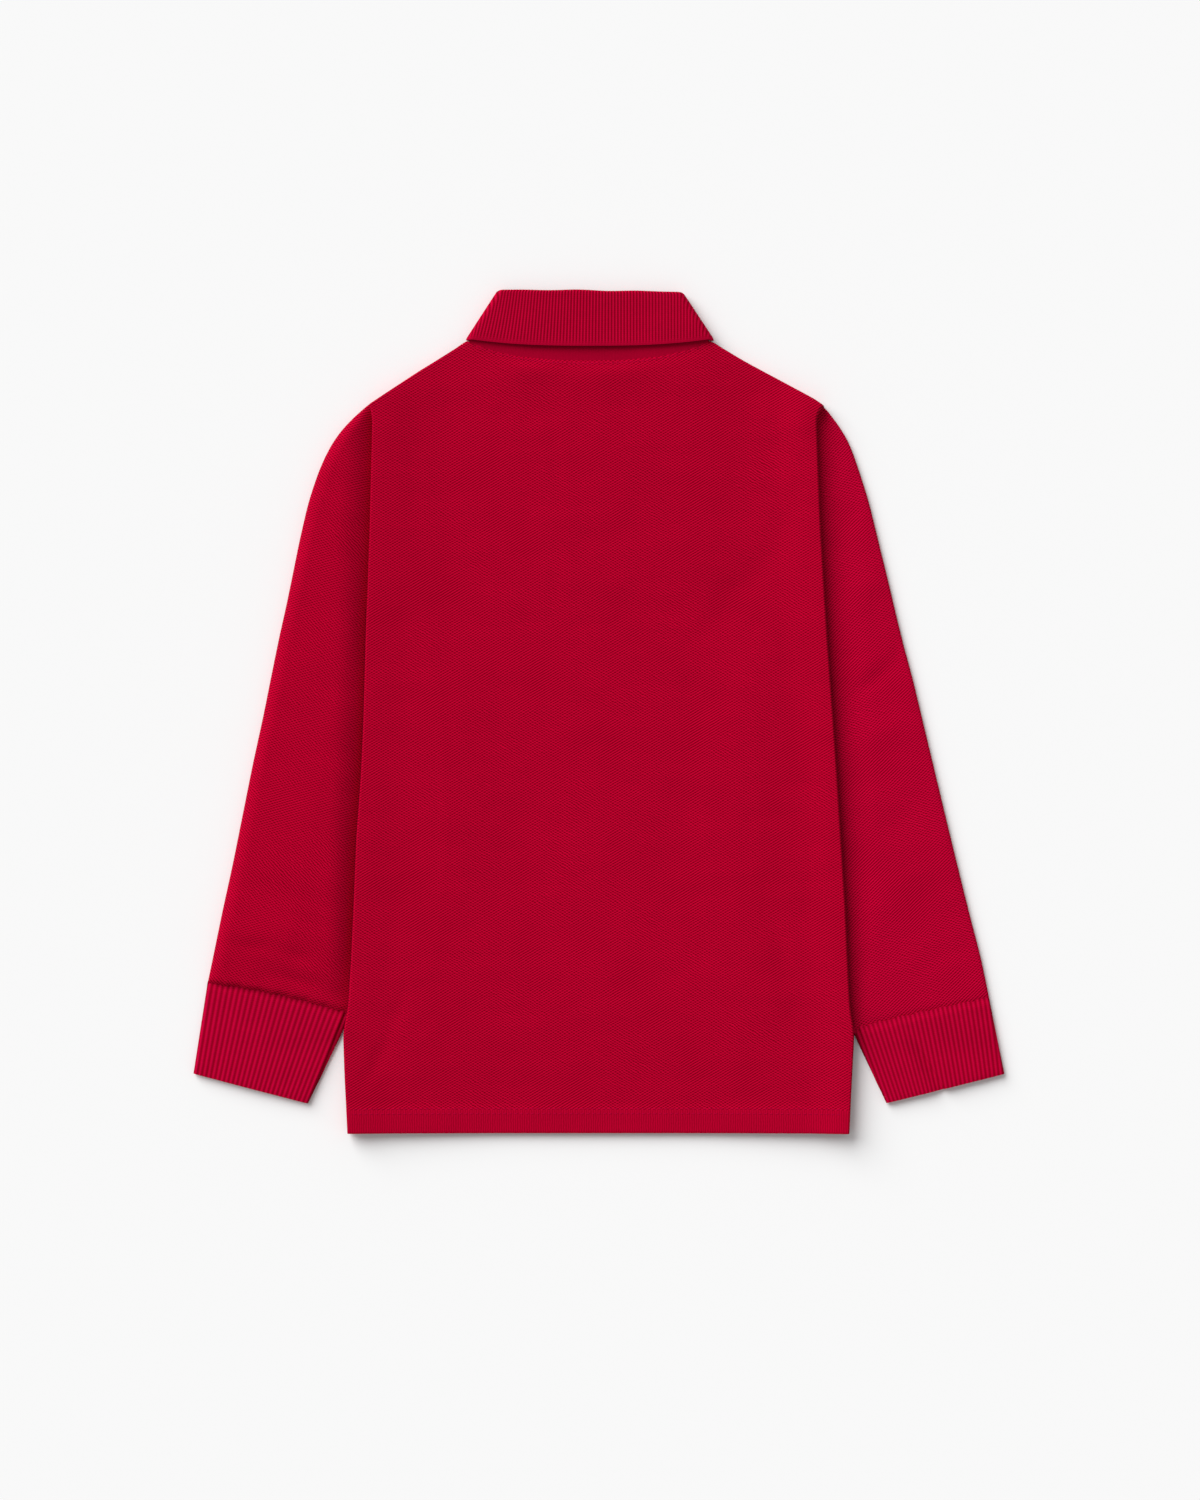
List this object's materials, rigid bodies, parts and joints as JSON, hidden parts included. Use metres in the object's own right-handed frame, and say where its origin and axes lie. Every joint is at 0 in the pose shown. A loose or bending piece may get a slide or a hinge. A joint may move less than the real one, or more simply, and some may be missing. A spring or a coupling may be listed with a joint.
{
  "type": "polo shirt",
  "caption": "Long-sleeved polo shirt for a child, laid flat with its back up: turned-down rib collar, rib cuffs, plain knit body and a buttoned placket underneath.",
  "frame": {"origin": "on the surface that the shirt lies on, under the middle of its outline", "axes": "+Z away from the surface, +Y from the hem towards the collar, +X to the right of someone who looks down on the shirt with the collar at the top"},
  "size_m": [0.4536, 0.4726, 0.0084],
  "materials": {
    "knit": "matte",
    "rib_knit": "matte",
    "button": "satin"
  },
  "bodies": {
    "root": {"back": "knit", "front": "knit", "sleeve_left": "knit", "sleeve_right": "knit", "cuff_left": "rib_knit", "cuff_right": "rib_knit", "collar": "rib_knit", "placket_upper": "knit", "placket_under": "knit", "button_1": "button", "button_2": "button", "button_3": "button"}
  },
  "joints": []
}
